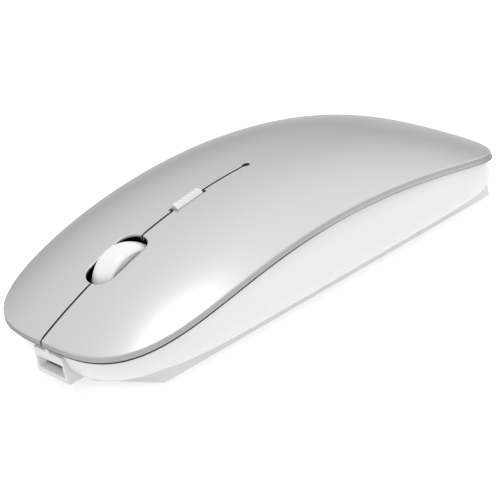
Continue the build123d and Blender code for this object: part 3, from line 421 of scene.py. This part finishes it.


# ---------------------------------------------------------------- materials
# Lean of a surface from 0 (faces down) through 0.5 (upright) to 1 (faces up), where the painted shade
# changes.
PAINTED_SHADE_STOPS = (0.40, 0.46, 0.56, 0.72)


class Shader:
    """A material whose colour, roughness and fine relief come from noise at a real scale; its colour can
    also carry painted shade by which way the surface faces.
    """

    def __init__(self, name):
        self.material = bpy.data.materials.new(name)
        self.material.use_nodes = True
        self.tree = self.material.node_tree
        self.bsdf = self.tree.nodes["Principled BSDF"]
        self.coordinates = self.tree.nodes.new("ShaderNodeTexCoord").outputs["Object"]

    def settle(self, **values):
        """Values that are the same all over, set on the shader's own sockets."""
        for socket, value in values.items():
            self.bsdf.inputs[socket.replace("_", " ")].default_value = value
        return self

    def noise(self, grain, detail=2.0, stretch=(1, 1, 1)):
        """Noise with grains of the given size in mm."""
        mapping = self.tree.nodes.new("ShaderNodeMapping")
        mapping.inputs["Scale"].default_value = stretch
        self.tree.links.new(self.coordinates, mapping.inputs["Vector"])
        noise = self.tree.nodes.new("ShaderNodeTexNoise")
        noise.inputs["Scale"].default_value = 1 / (grain * MM)
        noise.inputs["Detail"].default_value = detail
        self.tree.links.new(mapping.outputs["Vector"], noise.inputs["Vector"])
        return noise.outputs["Fac"]

    def ramp(self, source, *stops):
        """Colour ramp of (position, colour) stops."""
        ramp = self.tree.nodes.new("ShaderNodeValToRGB")
        elements = ramp.color_ramp.elements
        while len(elements) < len(stops):
            elements.new(0.5)
        for element, (position, colour) in zip(elements, stops):
            element.position = position
            element.color = (*colour, 1)
        self.tree.links.new(source, ramp.inputs["Fac"])
        return ramp.outputs["Color"]

    def colour(self, source, *stops):
        self.tree.links.new(self.ramp(source, *stops), self.bsdf.inputs["Base Color"])
        return self

    def paint_shade_by_lean(self, source, upright_painted_shade, under, *stops):
        """Painted shade: like colour, but scaled by these shares where the surface is upright or faces down,
        by its facing and not by any light.
        """
        normal = self.tree.nodes["Texture Coordinate"].outputs["Normal"]
        split = self.tree.nodes.new("ShaderNodeSeparateXYZ")
        span = self.tree.nodes.new("ShaderNodeMapRange")
        span.inputs["From Min"].default_value = -1.0
        self.tree.links.new(normal, split.inputs["Vector"])
        self.tree.links.new(split.outputs["Z"], span.inputs["Value"])
        # Painted shade: a ramp by the surface's facing, multiplied into the colour.
        down, upright, leaning, level = PAINTED_SHADE_STOPS
        lean_shade_factor = self.ramp(span.outputs["Result"], (down, grey(under)), (upright, grey(upright_painted_shade)),
                         (leaning, grey(upright_painted_shade)), (level, grey(1.0)))
        scale = self.tree.nodes.new("ShaderNodeVectorMath")
        scale.operation = "MULTIPLY"
        self.tree.links.new(self.ramp(source, *stops), scale.inputs[0])
        self.tree.links.new(lean_shade_factor, scale.inputs[1])
        self.tree.links.new(scale.outputs["Vector"], self.bsdf.inputs["Base Color"])
        return self

    def roughness(self, source, low, high):
        span = self.tree.nodes.new("ShaderNodeMapRange")
        span.inputs["From Min"].default_value = 0.3
        span.inputs["From Max"].default_value = 0.7
        span.inputs["To Min"].default_value = low
        span.inputs["To Max"].default_value = high
        self.tree.links.new(source, span.inputs["Value"])
        self.tree.links.new(span.outputs["Result"], self.bsdf.inputs["Roughness"])
        return self

    def relief(self, source, height, strength=1.0):
        """Bump of the given height in mm."""
        bump = self.tree.nodes.new("ShaderNodeBump")
        bump.inputs["Distance"].default_value = height * MM
        bump.inputs["Strength"].default_value = strength
        self.tree.links.new(source, bump.inputs["Height"])
        self.tree.links.new(bump.outputs["Normal"], self.bsdf.inputs["Normal"])
        return self


def grey(value):
    return (value, value, value)


def near(colour, share):
    """The colour made lighter or darker by a share."""
    return tuple(value * share for value in colour)


def silver_lacquer_painted_shade():
    """Fine aluminium flake under a satin clear coat, with painted shade: darker on upright faces and nearly
    black on faces that look down.
    """
    shader = Shader("silver_lacquer_painted_shade")
    flake = shader.noise(0.12, 3.0)
    shader.settle(Metallic=0.85, Coat_Weight=0.2, Coat_Roughness=0.12, Specular_IOR_Level=0.5)
    shader.bsdf.inputs["Specular Tint"].default_value = (*grey(0.28), 1)
    # Painted shade: colour scaled to 0.53 on upright faces and 0.03 on faces that look down; it paints the
    # rim's grey band and the dark line under it.
    shader.paint_shade_by_lean(flake, 0.53, 0.03, (0.3, grey(0.68)), (0.7, grey(0.72)))
    shader.roughness(flake, 0.29, 0.35)
    shader.relief(flake, 0.002, 0.35)
    return shader.material


def moulded_plastic(name, colour, rough, grain=0.3, height=0.002, coat=0.0, upright_painted_shade=1.0):
    """Moulded plastic with a faint texture and slightly uneven gloss; upright faces and faces that look down
    get a painted shade, darkened to the given share.
    """
    shader = Shader(name)
    cloud = shader.noise(9.0, 2.0)
    fine = shader.noise(grain, 3.0)
    shader.settle(Coat_Weight=coat, Coat_Roughness=0.06)
    # Painted shade: upright faces and faces that look down are darkened to the given share; a share of 1.0
    # leaves them as they are.
    shader.paint_shade_by_lean(cloud, upright_painted_shade, upright_painted_shade, (0.25, near(colour, 0.985)), (0.75, near(colour, 1.0)))
    shader.roughness(fine, max(rough - 0.03, 0.02), rough + 0.03)
    shader.relief(fine, height, 0.3)
    return shader.material


def drawn_metal(name, colour, rough):
    """Metal with fine drawing lines along its length."""
    shader = Shader(name)
    lines = shader.noise(0.25, 4.0, stretch=(1, 0.08, 1))
    shader.settle(Metallic=1.0)
    shader.colour(lines, (0.3, near(colour, 0.9)), (0.7, colour))
    shader.roughness(lines, rough - 0.06, rough + 0.08)
    shader.relief(lines, 0.003, 0.4)
    return shader.material


def solder_mask():
    """Green board: darker lines of copper show through the mask."""
    shader = Shader("solder_mask")
    paths = shader.noise(2.2, 0.0, stretch=(1, 0.35, 1))
    dark, light = (0.01, 0.10, 0.045), (0.02, 0.19, 0.085)
    shader.colour(paths, (0.44, dark), (0.47, light), (0.50, dark), (0.56, light))
    shader.roughness(shader.noise(0.4), 0.28, 0.40)
    shader.relief(paths, 0.03, 0.3)
    return shader.material


def clear_moulding():
    """Clear polycarbonate of the sensor's lens and the lamps."""
    shader = Shader("clear_moulding")
    haze = shader.noise(0.5, 3.0)
    shader.settle(Transmission_Weight=0.9, IOR=1.58)
    shader.colour(haze, (0.3, (0.86, 0.88, 0.89)), (0.7, (0.93, 0.94, 0.95)))
    shader.roughness(haze, 0.04, 0.10)
    return shader.material


def foil_wrap():
    """Silvery laminated foil round the cell, faintly creased."""
    shader = Shader("foil_wrap")
    creases = shader.noise(3.5, 5.0)
    shader.settle(Metallic=0.7)
    shader.colour(creases, (0.3, grey(0.46)), (0.7, grey(0.58)))
    shader.roughness(creases, 0.26, 0.46)
    shader.relief(creases, 0.06, 0.5)
    return shader.material


def materials_by_slot():
    """One material for each finish that the record names."""
    return {
        "silver_shell": silver_lacquer_painted_shade(),
        "white_gloss": moulded_plastic("white_gloss_plastic", (0.78, 0.78, 0.78), 0.16, coat=0.4),
        # White satin gets painted shade: its upright faces and faces that look down are darkened to 0.82.
        "white_satin": moulded_plastic("white_satin_plastic_painted_shade", (0.90, 0.90, 0.90), 0.34, upright_painted_shade=0.82),
        "white_wheel": moulded_plastic("white_wheel_rubber", (0.96, 0.96, 0.96), 0.30, grain=0.2),
        "grey_plastic": moulded_plastic("grey_plastic_frame", (0.32, 0.32, 0.33), 0.42),
        "black_plastic": moulded_plastic("black_plastic_case", (0.018, 0.018, 0.019), 0.32),
        "red_plastic": moulded_plastic("red_plastic_plunger", (0.42, 0.02, 0.02), 0.35),
        "board_green": solder_mask(),
        "steel": drawn_metal("zinc_steel", (0.56, 0.56, 0.57), 0.28),
        "bright_metal": drawn_metal("bright_nickel", (0.74, 0.74, 0.75), 0.18),
        "clear_plastic": clear_moulding(),
        "glide_pad": moulded_plastic("glide_pad_plastic", (0.66, 0.66, 0.66), 0.45, grain=0.15),
        "cell_wrap": foil_wrap(),
        "cell_tape": moulded_plastic("amber_tape", (0.55, 0.27, 0.03), 0.30, grain=1.0),
        "red_lead": moulded_plastic("red_lead_cover", (0.50, 0.015, 0.015), 0.38),
        "black_lead": moulded_plastic("black_lead_cover", (0.015, 0.015, 0.015), 0.38),
    }


# ---------------------------------------------------------------- camera, floor and light
TARGET = Vector((0, 0, 0.0105))
CAMERA_AZIMUTH, CAMERA_ELEVATION, CAMERA_ROLL = 54.77, 25.0, -11.973  # degrees
CAMERA_DISTANCE = 0.4343
LENS_MM, SENSOR_MM = 147.6, 36.0
SHIFT = (-0.01037, -0.04437)
WORLD_LOW, WORLD_HIGH = 0.75, 1.06  # the studio grows brighter overhead and towards the back
WORLD_RISE = (0.0, 0.5, 0.85)
FLOOR_HALF, TABLE_GLOW = 1.6, 0.38
BOX_DIRECTION, BOX_DISTANCE = (-0.12, -0.14, 0.98), 0.5
BOX_SIZE, BOX_POWER = (0.15, 0.15), 0.21  # metres, watts


def make_camera():
    """Camera at its angle round, above and rolled about the mouse, with a shifted lens."""
    azimuth, elevation, roll = map(math.radians, (CAMERA_AZIMUTH, CAMERA_ELEVATION, CAMERA_ROLL))
    back = Vector((math.sin(azimuth) * math.cos(elevation),
                   -math.cos(azimuth) * math.cos(elevation), math.sin(elevation)))
    level = Vector((math.cos(azimuth), math.sin(azimuth), 0))
    upright = back.cross(level)
    right = level * math.cos(roll) + upright * math.sin(roll)
    up = upright * math.cos(roll) - level * math.sin(roll)
    camera = bpy.data.objects.new("camera", bpy.data.cameras.new("camera"))
    bpy.context.scene.collection.objects.link(camera)
    camera.data.sensor_width = SENSOR_MM
    camera.data.lens = LENS_MM
    camera.data.shift_x, camera.data.shift_y = SHIFT
    turn = Matrix((right, up, back)).transposed().to_4x4()
    camera.matrix_world = Matrix.Translation(TARGET + back * CAMERA_DISTANCE) @ turn
    bpy.context.scene.camera = camera


def make_floor():
    """Pale table whose own surface glows a little, so the mouse casts only a faint shadow."""
    mesh = bpy.data.meshes.new("floor")
    half = FLOOR_HALF
    corners = [(-half, -half, 0), (half, -half, 0), (half, half, 0), (-half, half, 0)]
    mesh.from_pydata(corners, [], [(0, 1, 2, 3)])
    floor = bpy.data.objects.new("floor", mesh)
    bpy.context.scene.collection.objects.link(floor)
    shader = Shader("pale_floor")
    shader.colour(shader.noise(60.0), (0.3, grey(0.87)), (0.7, grey(0.88)))
    shader.settle(Roughness=0.9, Emission_Color=(1, 1, 1, 1), Emission_Strength=TABLE_GLOW)
    mesh.materials.append(shader.material)


def softbox(name, direction, distance, size, power):
    """Rectangular area light that faces the object from the given direction."""
    light = bpy.data.lights.new(name, "AREA")
    light.energy = power
    light.shape = "RECTANGLE"
    light.size, light.size_y = size
    lamp = bpy.data.objects.new(name, light)
    bpy.context.scene.collection.objects.link(lamp)
    heading = Vector(direction).normalized()
    lamp.location = TARGET + heading * distance
    lamp.rotation_mode = "QUATERNION"
    lamp.rotation_quaternion = heading.to_track_quat("Z", "Y")


def light_scene():
    """White studio that grows brighter overhead, with one softbox above the nose."""
    world = bpy.data.worlds.new("studio")
    world.use_nodes = True
    nodes, links = world.node_tree.nodes, world.node_tree.links
    background = nodes["Background"]
    background.inputs["Color"].default_value = (1, 1, 1, 1)
    heading = nodes.new("ShaderNodeTexCoord").outputs["Generated"]
    along = nodes.new("ShaderNodeVectorMath")
    along.operation = "DOT_PRODUCT"
    along.inputs[1].default_value = WORLD_RISE
    rise = nodes.new("ShaderNodeMapRange")
    rise.inputs["To Min"].default_value = WORLD_LOW
    rise.inputs["To Max"].default_value = WORLD_HIGH
    links.new(heading, along.inputs[0])
    links.new(along.outputs["Value"], rise.inputs["Value"])
    links.new(rise.outputs["Result"], background.inputs["Strength"])
    bpy.context.scene.world = world
    softbox("overhead_box", BOX_DIRECTION, BOX_DISTANCE, BOX_SIZE, BOX_POWER)
    bpy.context.scene.view_settings.view_transform = "Standard"


# ---------------------------------------------------------------- the mouse
def dress_cad_nodes(materials):
    """Give each CAD node the material of the slot that it was packed with."""
    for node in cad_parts.values():
        slot = node.data.materials[0].name
        node.data.materials.clear()
        node.data.materials.append(materials[slot])


make_camera()
make_floor()
light_scene()
finishes = materials_by_slot()
dress_cad_nodes(finishes)
skins = [
    palm_skin(),
    panel_skin("left", 1, LEFT_NOTCH),
    panel_skin("right", -1, RIGHT_NOTCH),
]
for skin in skins:
    skin.data.materials.append(finishes["silver_shell"])
